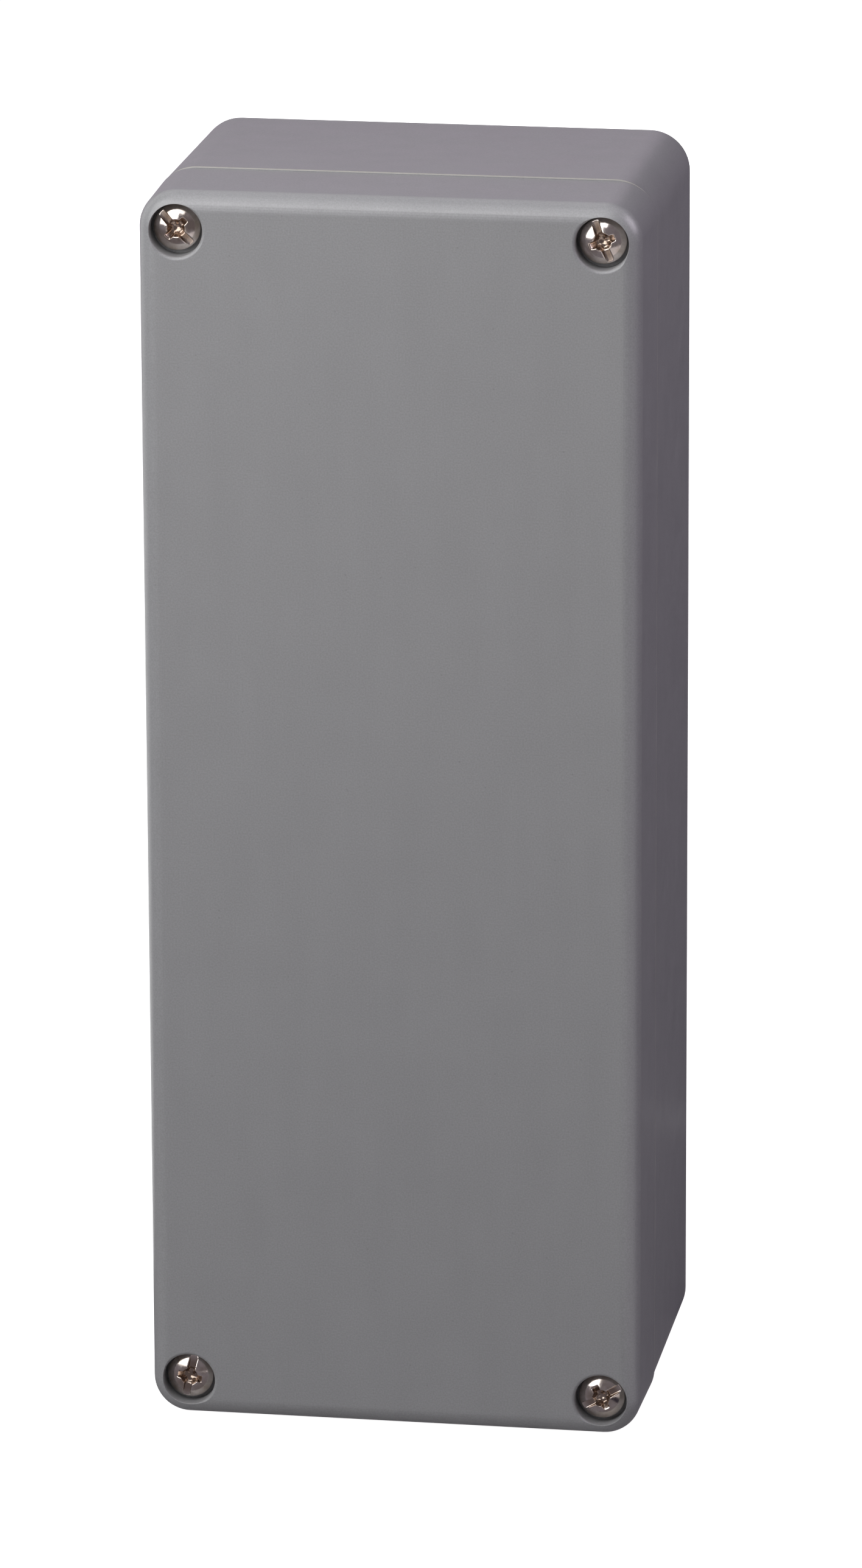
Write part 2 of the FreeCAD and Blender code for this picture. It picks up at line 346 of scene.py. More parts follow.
def helix(root: float, crest: float, pitch: float, start: float, length: float) -> Piece:
    """A right-hand threaded bar on the Y axis, with 60 degree flanks and flat ends.

    Args:
        root: Radius at the bottom of the thread.
        crest: Radius at its top.
        pitch: Distance from one turn to the next.
        start: Depth where it starts.
        length: Its length along +Y.

    Returns:
        The bar, to be used as a tool or joined to another solid.
    """
    flank = (crest - root) * math.tan(math.radians(30))
    flat = pitch / 8
    rest = pitch - flat - 2 * flank
    turns = math.ceil(length / pitch) + 2
    profile = [(root, 0), (root, rest), (crest, rest + flank), (crest, rest + flank + flat), (root, pitch)]
    bm = bmesh.new()
    verts = [bm.verts.new((radius, start - pitch + along, 0)) for radius, along in profile]
    edges = [bm.edges.new(pair) for pair in zip(verts, verts[1:])]
    bmesh.ops.spin(
        bm, geom=verts + edges, cent=(0, 0, 0), axis=BEHIND, angle=2 * math.pi * turns,
        dvec=(0, pitch / THREAD_STEPS, 0), steps=THREAD_STEPS * turns,
    )
    bmesh.ops.remove_doubles(bm, verts=bm.verts, dist=HAIR)
    for end, way in ((start, FRONT), (start + length, BEHIND)):
        cut_away(bm, (0, end, 0), way)
        bmesh.ops.holes_fill(bm, edges=[e for e in at_depth(bm.edges, end) if e.is_boundary], sides=0)
    return solid("thread", bm)


def quarter_round(centre: Point, radius: float, start: float, steps: int = 5) -> list[Point]:
    """Points (radius, depth) of a quarter circle, from a start in degrees that grow towards +Y."""
    turns = [math.radians(start) + math.pi / 2 * i / steps for i in range(steps + 1)]
    return [(centre[0] + radius * math.cos(t), centre[1] + radius * math.sin(t)) for t in turns]


def lean(length: float, degrees: float) -> float:
    """How far a wall of this length leans in at a draft angle."""
    return length * math.tan(math.radians(degrees))


def linear(hex_colour: str) -> tuple[float, float, float, float]:
    """Turns a colour to the linear values that Blender mixes.

    Args:
        hex_colour: The colour as sRGB hex, with its #.

    Returns:
        Red, green, blue and an alpha of 1.
    """
    channels = [int(hex_colour[i:i + 2], 16) / 255 for i in (1, 3, 5)]
    light = [c / 12.92 if c <= 0.04045 else ((c + 0.055) / 1.055) ** 2.4 for c in channels]
    return (*light, 1.0)


def feed(made: bpy.types.Node, links: dict) -> None:
    """Fills inputs of a node.

    Args:
        made: The node.
        links: For each input, by name or number, a value or the output that feeds it.
    """
    for name, value in links.items():
        if isinstance(value, Socket):
            made.id_data.links.new(value, made.inputs[name])
        else:
            made.inputs[name].default_value = value


def node(
    tree: Tree, kind: str, links: dict | None = None, out: int | str = 0, **settings: object,
) -> Socket | None:
    """Adds one node with its settings, values and links.

    Args:
        tree: Node tree that gets it.
        kind: Blender's name of the node, without its first word ShaderNode.
        links: What its inputs get. Those of a MapRange are 0 the value, 1 and 2 its range, 3 and 4 the
            new range.
        out: The output that is wanted, by name or number.
        settings: Properties of the node.

    Returns:
        That output, or None from a node that has none.
    """
    made = tree.nodes.new("ShaderNode" + kind)
    for name, value in settings.items():
        setattr(made, name, value)
    feed(made, links or {})
    return made.outputs[out] if made.outputs else None


@dataclass(frozen=True)
class Finish:
    """A material with its base values. Each kind of finish adds its own pattern.

    Attributes:
        name: The real material and how its surface was made.
        colour: Main colour, as sRGB hex.
        roughness: Mean roughness of the surface.
        metallic: 1 for metals.
    """

    name: str
    colour: str
    roughness: float
    metallic: float = 0.0

    def material(self) -> bpy.types.Material:
        """Makes the material, unless it is made already.

        Returns:
            The material.
        """
        if self.name in bpy.data.materials:
            return bpy.data.materials[self.name]
        made = bpy.data.materials.new(self.name)
        made.use_nodes = True
        tree = made.node_tree
        shader = tree.nodes["Principled BSDF"]
        base = {"Base Color": linear(self.colour), "Roughness": self.roughness, "Metallic": self.metallic}
        feed(shader, base | self.pattern(tree, node(tree, "TexCoord", out="Object")))
        return made

    def shade(self, share: float) -> tuple[float, float, float, float]:
        """The main colour, this much lighter or darker."""
        red, green, blue, _ = linear(self.colour)
        return (red * share, green * share, blue * share, 1.0)

    def pattern(self, tree: Tree, where: Socket) -> dict:
        """Makes the pattern of this finish and returns what the inputs of the shader get."""
        raise NotImplementedError

    def dress(self, piece: Piece) -> None:
        """Gives a piece this finish and nothing else."""
        piece.data.materials.clear()
        piece.data.materials.append(self.material())


@dataclass(frozen=True)
class MouldedPolyester(Finish):
    """Glass-filled polyester, hot pressed in a polished steel mould.

    The resin flows while it cures, so the grey is faintly clouded and streaked, and the satin skin is a
    little uneven over the glass. The outer rim of the base is painted paler: partly the pale glass where
    flash was cut off, partly a painted highlight of the rim's rounding. A point attribute says where that
    is. The dots of the filler are finer in truth and are drawn as coarse as they need to show.
    """

    # Colour of the outer rim: partly pale glass where flash was cut off, partly painted highlight.
    pale: str = "#92908b"
    refraction: float = 1.57
    contrast: float = 0.1
    cloud: float = 9 * MM
    streak: float = 3.5 * MM
    streak_angle: float = 38.0
    streak_stretch: float = 0.16
    dot: float = 0.25 * MM
    dot_weight: float = 11.0
    speck: float = 1.3 * MM
    speck_rarity: float = 0.93
    speck_weight: float = 0.35
    skin: float = 0.9 * MM
    skin_height: float = 0.03 * MM
    skin_play: float = 0.03

    def pattern(self, tree: Tree, where: Socket) -> dict:
        """Clouds and streaks of the resin, dots of its filler, the paler rim with its painted highlight, dark
        specks and the uneven skin.

        Args:
            tree: Node tree of the material.
            where: Object coordinates, in metres.

        Returns:
            What the inputs of the principled shader get.
        """
        clouds = node(tree, "TexNoise", {"Vector": where, "Scale": 1 / self.cloud, "Detail": 3.0})
        turn = (0, math.radians(self.streak_angle), 0)
        flow = {"Vector": where, "Rotation": turn, "Scale": (1, 1, self.streak_stretch)}
        flow = node(tree, "Mapping", flow)
        streaks = node(tree, "TexNoise", {"Vector": flow, "Scale": 1 / self.streak})
        mixed = node(tree, "Math", {0: clouds, 1: streaks}, operation="ADD")
        tone = node(tree, "MapRange", {0: mixed, 1: 0.75, 2: 1.25})
        dots = node(tree, "TexNoise", {"Vector": where, "Scale": 1 / self.dot, "Detail": 1.0})
        tone = node(tree, "Math", {0: dots, 1: self.dot_weight, 2: tone}, operation="MULTIPLY_ADD")
        share = node(tree, "MapRange", {0: tone, 1: 3.0, 2: 9.0})
        grey = {0: share, 6: self.shade(1 - self.contrast), 7: self.shade(1 + self.contrast)}
        grey = node(tree, "Mix", grey, 2, data_type="RGBA")
        # Painted highlight: the outer rim is painted paler, partly as the highlight of its rounding, partly
        # as pale glass.
        trimmed = node(tree, "Attribute", out="Fac", attribute_name="trimmed")
        grey = node(tree, "Mix", {0: trimmed, 6: grey, 7: linear(self.pale)}, 2, data_type="RGBA")
        spots = node(tree, "TexVoronoi", {"Vector": where, "Scale": 1 / self.speck}, "Distance")
        small = node(tree, "MapRange", {0: spots, 1: 0.06, 2: 0.14, 3: 1.0, 4: 0.0})
        chosen = node(tree, "SeparateColor", {0: spots.node.outputs["Color"]})
        rare = {0: chosen, 1: self.speck_rarity, 2: self.speck_rarity + 0.03, 4: self.speck_weight}
        spotted = node(tree, "Math", {0: small, 1: node(tree, "MapRange", rare)}, operation="MULTIPLY")
        grey = node(tree, "Mix", {0: spotted, 6: grey, 7: self.shade(0.5)}, 2, data_type="RGBA")
        wavy = node(tree, "TexNoise", {"Vector": where, "Scale": 1 / (7 * self.skin), "Detail": 1.0})
        low, high = self.roughness - self.skin_play, self.roughness + self.skin_play
        gloss = node(tree, "MapRange", {0: wavy, 1: 0.3, 2: 0.7, 3: low, 4: high})
        grain = node(tree, "TexNoise", {"Vector": where, "Scale": 1 / self.skin})
        height = node(tree, "Math", {0: grain, 1: 0.12, 2: wavy}, operation="MULTIPLY_ADD")
        bump = node(tree, "Bump", {"Height": height, "Strength": 0.25, "Distance": self.skin_height})
        return {"Base Color": grey, "Roughness": gloss, "IOR": self.refraction, "Normal": bump}


@dataclass(frozen=True)
class MouldedRubber(Finish):
    """Chloroprene, moulded: dull black with a fine powdery bloom."""

    bloom: float = 2.5 * MM
    bloom_light: float = 1.8
    grain: float = 0.3125 * MM
    grain_height: float = 0.03 * MM

    def pattern(self, tree: Tree, where: Socket) -> dict:
        """Bloom on the surface, and its fine grain.

        Args:
            tree: Node tree of the material.
            where: Object coordinates, in metres.

        Returns:
            What the inputs of the principled shader get.
        """
        dusty = node(tree, "TexNoise", {"Vector": where, "Scale": 1 / self.bloom, "Detail": 4.0})
        share = node(tree, "MapRange", {0: dusty, 1: 0.4, 2: 0.75})
        colour = {0: share, 6: self.shade(1.0), 7: self.shade(self.bloom_light)}
        colour = node(tree, "Mix", colour, 2, data_type="RGBA")
        grain = node(tree, "TexNoise", {"Vector": where, "Scale": 1 / self.grain})
        bump = node(tree, "Bump", {"Height": grain, "Strength": 0.5, "Distance": self.grain_height})
        return {"Base Color": colour, "Normal": bump}


@dataclass(frozen=True)
class ColdHeadedSteel(Finish):
    """Stainless steel, cold headed and passivated: a bright skin with faint drag marks and a warm stain.

    The recess gets painted shade, darker and browner, and is made duller. The attribute "recess" says
    how deep it is.
    """

    patch: float = 2.1 * MM
    mark: float = 0.35 * MM
    mark_angle: float = 25.0
    mark_stretch: float = 0.25
    mark_height: float = 0.02 * MM
    stain: str = "#bfb2a6"
    # Colour of the painted shade in the recess, which is also made duller.
    grime: str = "#a08d7e"
    grime_roughness: float = 0.05

    def pattern(self, tree: Tree, where: Socket) -> dict:
        """Drag marks in the roughness and height, the stain, and the painted shade and dullness in the
        recess.

        Args:
            tree: Node tree of the material.
            where: Object coordinates, in metres.

        Returns:
            What the inputs of the principled shader get.
        """
        patches = node(tree, "TexNoise", {"Vector": where, "Scale": 1 / self.patch})
        stained = node(tree, "MapRange", {0: patches, 1: 0.4, 2: 0.7})
        unshaded_colour = {0: stained, 6: self.shade(1.0), 7: linear(self.stain)}
        unshaded_colour = node(tree, "Mix", unshaded_colour, 2, data_type="RGBA")
        # Painted shade: the deeper in the recess, the darker and browner the colour, and the duller the
        # gloss.
        recess = node(tree, "Attribute", out="Fac", attribute_name="recess")
        recess_shade_and_dulling = node(tree, "MapRange", {0: patches, 1: 0.3, 2: 0.7, 3: 0.75, 4: 1.0})
        recess_shade_and_dulling = node(tree, "Math", {0: recess, 1: recess_shade_and_dulling}, operation="MULTIPLY")
        colour = node(tree, "Mix", {0: recess_shade_and_dulling, 6: unshaded_colour, 7: linear(self.grime)}, 2, data_type="RGBA")
        turn = (0, math.radians(self.mark_angle), 0)
        drawn = node(tree, "Mapping", {"Vector": where, "Rotation": turn, "Scale": (1, 1, self.mark_stretch)})
        marks = node(tree, "TexNoise", {"Vector": drawn, "Scale": 1 / self.mark, "Detail": 3.0})
        rough = {0: marks, 1: 0.35, 2: 0.7, 3: self.roughness - 0.05, 4: self.roughness + 0.07}
        rough = {0: recess_shade_and_dulling, 1: self.grime_roughness, 2: node(tree, "MapRange", rough)}
        rough = node(tree, "Math", rough, operation="MULTIPLY_ADD")
        bump = node(tree, "Bump", {"Height": marks, "Strength": 0.3, "Distance": self.mark_height})
        return {"Base Color": colour, "Roughness": rough, "Normal": bump}


@dataclass(frozen=True)
class PunchedPolyamide(Finish):
    """Natural polyamide, punched from sheet: milky, a little yellowed, with a waxy sheen."""

    cloud: float = 1.5 * MM
    cloud_height: float = 0.02 * MM
    yellowed: str = "#d8d2bf"
    milkiness: float = 0.15
    light_reach: Spot = (0.6 * MM, 0.5 * MM, 0.4 * MM)

    def pattern(self, tree: Tree, where: Socket) -> dict:
        """Milky clouds and a soft unevenness.

        Args:
            tree: Node tree of the material.
            where: Object coordinates, in metres.

        Returns:
            What the inputs of the principled shader get.
        """
        milk = node(tree, "TexNoise", {"Vector": where, "Scale": 1 / self.cloud, "Detail": 3.0})
        clouds = node(tree, "MapRange", {0: milk, 1: 0.35, 2: 0.65})
        colour = {0: clouds, 6: self.shade(1.0), 7: linear(self.yellowed)}
        colour = node(tree, "Mix", colour, 2, data_type="RGBA")
        bump = node(tree, "Bump", {"Height": clouds, "Strength": 0.2, "Distance": self.cloud_height})
        glow = {"Subsurface Weight": self.milkiness, "Subsurface Radius": self.light_reach}
        return {"Base Color": colour, "Normal": bump} | glow


@dataclass(frozen=True)
class TurnedBrass(Finish):
    """Free-cutting brass, turned: fine tool rings, dulled a little by the moulding heat."""

    feed_mark: float = 0.25 * MM
    ring_stretch: float = 0.15
    ring_height: float = 0.01 * MM
    patch: float = 1.5 * MM
    tarnish: str = "#8d6f3c"

    def pattern(self, tree: Tree, where: Socket) -> dict:
        """Tool marks along the depth, and the tarnish of the mould's heat.

        Args:
            tree: Node tree of the material.
            where: Object coordinates, in metres.

        Returns:
            What the inputs of the principled shader get.
        """
        patches = node(tree, "TexNoise", {"Vector": where, "Scale": 1 / self.patch, "Detail": 3.0})
        dulled = node(tree, "MapRange", {0: patches, 1: 0.4, 2: 0.7})
        colour = {0: dulled, 6: self.shade(1.0), 7: linear(self.tarnish)}
        colour = node(tree, "Mix", colour, 2, data_type="RGBA")
        along = node(tree, "Mapping", {"Vector": where, "Scale": (self.ring_stretch, 1, self.ring_stretch)})
        rings = node(tree, "TexNoise", {"Vector": along, "Scale": 1 / self.feed_mark, "Detail": 1.0})
        rough = {0: rings, 1: 0.35, 2: 0.65, 3: self.roughness - 0.06, 4: self.roughness + 0.08}
        bump = node(tree, "Bump", {"Height": rings, "Strength": 0.3, "Distance": self.ring_height})
        return {"Base Color": colour, "Roughness": node(tree, "MapRange", rough), "Normal": bump}


POLYESTER = MouldedPolyester("Glass-filled polyester, compression moulded", "#8b8b8d", 0.33)
RUBBER = MouldedRubber("Chloroprene rubber, moulded", "#232424", 0.72)
STEEL = ColdHeadedSteel("Stainless steel, cold headed", "#e2d9d3", 0.16, 1.0)
POLYAMIDE = PunchedPolyamide("Natural polyamide, punched from sheet", "#e4e0d4", 0.42)
BRASS = TurnedBrass("Free-cutting brass, turned", "#c6a25c", 0.3, 1.0)


def add_piece(piece: Piece, finish: Finish, body: str, cad_node: str) -> None:
    """Dresses a finished piece and sets it into the frame.

    Args:
        piece: The piece, in place.
        finish: Its finish.
        body: CAD body that it rides on.
        cad_node: CAD node that it stands for.
    """
    finish.dress(piece)
    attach(piece, body)
    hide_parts(cad_node)
    LOG.info("%s: %d faces, on %s", piece.name, len(piece.data.polygons), body)


@dataclass(frozen=True)
class Copy:
    """Where one copy of a repeated piece goes.

    Attributes:
        name: Name of the copy.
        body: CAD body that it rides on.
        cad_node: CAD node that it stands for.
        place: Where the origin of the pattern goes.
        turn: Degrees about -Y, which is anticlockwise as seen from the front.
    """

    name: str
    body: str
    cad_node: str
    place: Vector
    turn: float = 0.0


def add_copies(pattern: Piece, finish: Finish, copies: Iterable[Copy]) -> None:
    """Sets copies of a piece that was built on the Y axis, each with its place in its mesh.

    Args:
        pattern: The piece to copy. It is removed afterwards.
        finish: Finish of the copies.
        copies: Where they go.
    """
    for copy in copies:
        mesh = pattern.data.copy()
        turn = Matrix.Rotation(math.radians(copy.turn), 4, FRONT)
        mesh.transform(Matrix.Translation(copy.place) @ turn)
        add_piece(shown(copy.name, mesh), finish, copy.body, copy.cad_node)
    discard(pattern)


@dataclass(frozen=True)
class Plan:
    """Sizes that the mouldings and the fittings share, in metres. Depths run along Y from the wall."""

    width: float = 75 * MM
    height: float = 190 * MM
    depth: float = 55 * MM
    parting: float = -39 * MM
    lid_drop: float = 0.25 * MM
    outer_lip: float = 1.8 * MM
    groove_width: float = 3.0 * MM
    groove_floor: float = -44.2 * MM
    tongue_width: float = 1.8 * MM
    tongue_tip: float = -42 * MM
    seal_outer_bend: float = 4.5 * MM
    seal_inner_bend: float = 3.0 * MM
    seal_to_well: float = 1.25 * MM
    well_diameter: float = 8.5 * MM
    insert_diameter: float = 6.2 * MM
    insert_setback: float = 0.3 * MM
    boss_top: float = -10 * MM
    cavity_draft: float = 0.75
    screws: Point = (31.5 * MM, 89 * MM)
    fixings: Point = (22.5 * MM, 89 * MM)
    plate: Point = (25 * MM, 70 * MM)
    rail: float = 80 * MM

    @property
    def front(self) -> float:
        """Depth of the lid's face."""
        return -self.depth

    @property
    def floor_places(self) -> dict[str, Vector]:
        """Where the floor inserts are.

        Returns:
            Every floor insert's node with its place across the front.
        """
        places = {f"plate_insert_{c.label}": c.place(self.plate) for c in Corner}
        places["rail_insert_top"] = Vector((0, 0, self.rail))
        places["rail_insert_bottom"] = Vector((0, 0, -self.rail))
        return places

    def seal_line(self, offset: float) -> list[Spot]:
        """The seal line, which turns round the four corner posts.

        Args:
            offset: How far it is moved outwards.

        Returns:
            Its corners as (x, z, radius).
        """
        side = self.width / 2 - self.outer_lip - self.groove_width / 2 + offset
        end = self.height / 2 - self.outer_lip - self.groove_width / 2 + offset
        gap = self.well_diameter / 2 + self.seal_to_well + self.groove_width / 2
        bay = self.fixings[0] - gap + offset
        jog = self.fixings[1] - gap + offset
        outward = self.seal_outer_bend + offset
        inward = self.seal_inner_bend - offset
        quarter = [(bay, end, outward), (bay, jog, inward), (side, jog, outward)]
        right = quarter + [(x, -z, r) for x, z, r in reversed(quarter)]
        return right + [(-x, z, r) for x, z, r in reversed(right)]

    def ring(self, width: float, front: float, back: float) -> Mesh:
        """A straight ring along the seal line.

        Args:
            width: Its width.
            front: Depth of its front.
            back: Depth of its back.

        Returns:
            The ring.
        """
        bm = bmesh.new()
        outline(bm, self.seal_line(width / 2), front)
        bm.normal_update()
        band = bmesh.ops.inset_region(
            bm, faces=bm.faces[:], thickness=width, use_even_offset=True, use_boundary=True,
        )
        bmesh.ops.delete(bm, geom=[f for f in bm.faces if f not in band["faces"]], context="FACES")
        grown = bmesh.ops.extrude_face_region(bm, geom=bm.faces[:])["geom"]
        moved = [part for part in grown if isinstance(part, bmesh.types.BMVert)]
        bmesh.ops.translate(bm, verts=moved, vec=(0, back - front, 0))
        bmesh.ops.recalc_face_normals(bm, faces=bm.faces)
        return bm


PLAN = Plan()
SLOT_ANGLES = {
    Corner.TOP_LEFT: -45.0,
    Corner.TOP_RIGHT: -68.0,
    Corner.BOTTOM_LEFT: 78.0,
    Corner.BOTTOM_RIGHT: 30.0,
}


@dataclass(frozen=True)
class Lid:
    """The lid: a shallow cap with a counterbore at each corner and the seal groove round its back."""

    corner_radius: float = 5.8 * MM
    draft: float = 1.0
    edge_radius: float = 2.9 * MM
    rim_radius: float = 0.12 * MM
    face: float = 4.0 * MM
    inner_lip: float = 1.5 * MM
    cavity_radius: float = 1.2 * MM
    counterbore: float = 7.9 * MM
    counterbore_depth: float = 3.2 * MM
    mouth_radius: float = 0.5 * MM
    hole: float = 4.6 * MM
    web: float = 3.8 * MM
    washer_pocket: float = 8.6 * MM
    pocket_side_wall: float = 1.5 * MM
    pocket_outer_wall: float = 3.0 * MM
    pocket_radius: float = 1.2 * MM
    pocket_roof_radius: float = 0.6 * MM

    @property
    def roof(self) -> float:
        """Depth of the inside of the face."""
        return PLAN.front + self.face

    def shell(self) -> Piece:
        """Outside of the lid, with leaning sides and a rounded front edge.

        Returns:
            The lid, not yet hollow.
        """
        inset = lean(PLAN.parting - PLAN.front, self.draft)
        half_x, half_z = PLAN.width / 2, PLAN.height / 2
        face = rectangle(half_x - inset, half_z - inset, self.corner_radius - inset)
        bm = block(face, PLAN.front, rectangle(half_x, half_z, self.corner_radius), PLAN.parting)
        round_off(bm, PLAN.front, self.edge_radius, steps=12)
        round_off(bm, PLAN.parting, self.rim_radius, steps=3)
        return solid("moulded_lid", bm)

    def cavity(self) -> Piece:
        """Room inside the lid.

        Returns:
            The tool that cuts it.
        """
        edge = -PLAN.groove_width / 2 - self.inner_lip
        inner = PLAN.seal_line(edge - lean(PLAN.parting - self.roof, PLAN.cavity_draft))
        outer = PLAN.seal_line(edge + lean(PAST, PLAN.cavity_draft))
        bm = block(inner, self.roof, outer, PLAN.parting + PAST)
        round_off(bm, self.roof, self.cavity_radius, steps=4)
        return solid("lid cavity", bm)

    def well_pocket(self, corner: Corner) -> Piece:
        """Room over one wall screw, which keeps the moulding there from being thick.

        Args:
            corner: The corner that the screw is in.

        Returns:
            The tool that cuts it.
        """
        radius = PLAN.well_diameter / 2
        low = corner.place((PLAN.fixings[0] - radius, PLAN.fixings[1] - radius))
        high_x = PLAN.screws[0] - self.washer_pocket / 2 - self.pocket_side_wall
        high = corner.place((high_x, PLAN.height / 2 - self.pocket_outer_wall))
        middle, half = (low + high) / 2, (high - low) / 2
        spots = rectangle(abs(half.x), abs(half.z), self.pocket_radius)
        spots = [(x + middle.x, z + middle.z, radius) for x, z, radius in spots]
        bm = block(spots, self.roof, spots, PLAN.parting + PAST)
        round_off(bm, self.roof, self.pocket_roof_radius, steps=3)
        return solid("well pocket", bm)

    def screw_way(self, corner: Corner) -> Turning:
        """The way of one screw: counterbore with a rounded mouth, hole and washer pocket.

        Args:
            corner: The corner that the screw is in.

        Returns:
            Its profile and axis.
        """
        bore, hole, pocket = self.counterbore / 2, self.hole / 2, self.washer_pocket / 2
        centre = (bore + self.mouth_radius, PLAN.front + self.mouth_radius)
        mouth = reversed(quarter_round(centre, self.mouth_radius, 180))
        above, below = PLAN.front - PAST, PLAN.parting + PAST
        seat = PLAN.front + self.counterbore_depth
        roof = seat + self.web
        profile = [(0, above), (centre[0], above), *mouth, (bore, seat), (hole, seat), (hole, roof)]
        return profile + [(pocket, roof), (pocket, below), (0, below)], corner.place(PLAN.screws)

    def build(self) -> None:
        """Makes the whole lid and lets it hang by the play on its tongue."""
        lid = self.shell()
        join(lid, self.cavity(), Joining.CUT)
        groove = PLAN.ring(PLAN.groove_width, PLAN.groove_floor, PLAN.parting + PAST)
        join(lid, solid("seal groove", groove), Joining.CUT)
        for corner in Corner:
            join(lid, self.well_pocket(corner), Joining.CUT)
        join(lid, turned("screw ways", [self.screw_way(corner) for corner in Corner]), Joining.CUT)
        lid.data.transform(Matrix.Translation((0, 0, -PLAN.lid_drop)))
        polish(lid)
        add_piece(lid, POLYESTER, "lid_assembly", "lid")


@dataclass(frozen=True)
class Base:
    """The base: walls, floor, corner posts with fixing wells, sealing tongue and floor bosses."""

    corner_radius: float = 6.3 * MM
    draft: float = 0.35
    back_radius: float = 3.0 * MM
    rim_radius: float = 0.22 * MM
    floor: float = 4.0 * MM
    cavity_radius: float = 2.5 * MM
    tongue_chamfer: float = 0.35 * MM
    boss_radius: float = 4.5 * MM
    boss_foot: float = 1.0 * MM
    boss_draft: float = 1.5
    fixing_hole: float = 4.8 * MM
    fixing_floor: float = 7.0 * MM
    well_chamfer: float = 0.4 * MM
    tip_hole: float = 4.2 * MM
    tip_room: float = 3.5 * MM
    post_insert: float = 9.0 * MM
    floor_insert: float = 7.0 * MM

    def shell(self) -> Piece:
        """Outside of the base, with leaning walls, a rounded back edge and a fine rounded rim.

        Returns:
            The base, not yet hollow.
        """
        inset = lean(-PLAN.parting, self.draft)
        half_x, half_z = PLAN.width / 2, PLAN.height / 2
        back = rectangle(half_x - inset, half_z - inset, self.corner_radius - inset)
        bm = block(rectangle(half_x, half_z, self.corner_radius), PLAN.parting, back, 0.0)
        round_off(bm, 0.0, self.back_radius, steps=12)
        round_off(bm, PLAN.parting, self.rim_radius, steps=4)
        return solid("moulded_base", bm)

    def land(self) -> Piece:
        """The raised land of the tongue, filled until the cavity is cut.

        Returns:
            The land, to be added to the base.
        """
        line = PLAN.seal_line(PLAN.tongue_width / 2)
        bm = block(line, PLAN.tongue_tip, line, PLAN.parting + PAST)
        round_off(bm, PLAN.tongue_tip, self.tongue_chamfer, steps=1)
        return solid("sealing land", bm)

    def cavity(self) -> Piece:
        """Room inside the base, flush with the inner side of the tongue.

        Returns:
            The tool that cuts it.
        """
        edge = -PLAN.tongue_width / 2
        outer = PLAN.seal_line(edge + lean(PAST, PLAN.cavity_draft))
        inner = PLAN.seal_line(edge - lean(-self.floor - PLAN.tongue_tip, PLAN.cavity_draft))
        bm = block(outer, PLAN.tongue_tip - PAST, inner, -self.floor)
        round_off(bm, -self.floor, self.cavity_radius, steps=6)
        return solid("base cavity", bm)

    def boss(self, place: Vector) -> Turning:
        """A floor boss, whose foot runs into the floor in a fillet.

        Args:
            place: Where it stands.

        Returns:
            Its profile and axis.
        """
        foot = self.boss_radius + lean(-self.floor - PLAN.boss_top, self.boss_draft)
        wide, buried = foot + self.boss_foot, -self.floor / 2
        fillet = quarter_round((wide, -self.floor - self.boss_foot), self.boss_foot, 90)
        top = [(self.boss_radius, PLAN.boss_top), (0, PLAN.boss_top)]
        return [(0, buried), (wide, buried), *fillet, *top], place

    def well(self, place: Vector) -> Turning:
        """A fixing well: a chamfered mouth, room for a screw head and the hole for its shank.

        Args:
            place: Where its axis is.

        Returns:
            Its profile and axis.
        """
        radius, hole = PLAN.well_diameter / 2, self.fixing_hole / 2
        wide, rim = radius + self.well_chamfer, PLAN.parting
        mouth = [(0, rim - PAST), (wide, rim - PAST), (wide, rim), (radius, rim + self.well_chamfer)]
        seat = -self.fixing_floor
        return mouth + [(radius, seat), (hole, seat), (hole, PAST), (0, PAST)], place

    def insert_hole(self, place: Vector, mouth: float, length: float, tip: float) -> Turning:
        """Room for an insert, and the blind hole for a screw's tip past it.

        Args:
            place: Where its axis is.
            mouth: Depth of the face that it opens in.
            length: Length of the insert.
            tip: Depth of the blind hole, 0 for none.

        Returns:
            Its profile and axis.
        """
        radius, tip_radius = PLAN.insert_diameter / 2, self.tip_hole / 2
        end = mouth + PLAN.insert_setback + length
        profile = [(0, mouth - PAST), (radius, mouth - PAST), (radius, end)]
        if tip:
            profile += [(tip_radius, end), (tip_radius, end + tip)]
        return profile + [(0, end + tip)], place

    def mark_rim(self, base: Piece) -> None:
        """Marks the outer rim, painted paler: partly pale glass where flash was cut off, partly a painted
        highlight.

        Args:
            base: The finished base.
        """
        marks = base.data.attributes.new("trimmed", "FLOAT", "POINT").data
        inner_x, inner_z = PLAN.width / 2 - self.corner_radius, PLAN.height / 2 - self.corner_radius
        for vert, mark in zip(base.data.vertices, marks):
            beyond = math.hypot(max(abs(vert.co.x) - inner_x, 0), max(abs(vert.co.z) - inner_z, 0))
            outside = beyond > self.corner_radius - 2 * self.rim_radius
            mark.value = float(outside and HAIR < vert.co.y - PLAN.parting < self.rim_radius - HAIR)

    def build(self) -> None:
        """Makes the whole base."""
        base = self.shell()
        floor_places = PLAN.floor_places.values()
        join(base, self.land(), Joining.ADD)
        join(base, self.cavity(), Joining.CUT)
        join(base, turned("floor bosses", [self.boss(place) for place in floor_places]), Joining.ADD)
        holes = [self.well(c.place(PLAN.fixings)) for c in Corner]
        for corner in Corner:
            post = corner.place(PLAN.screws)
            holes.append(self.insert_hole(post, PLAN.parting, self.post_insert, self.tip_room))
        holes += [self.insert_hole(place, PLAN.boss_top, self.floor_insert, 0) for place in floor_places]
        join(base, turned("holes", holes), Joining.CUT)
        polish(base)
        self.mark_rim(base)
        add_piece(base, POLYESTER, "base_assembly", "base")


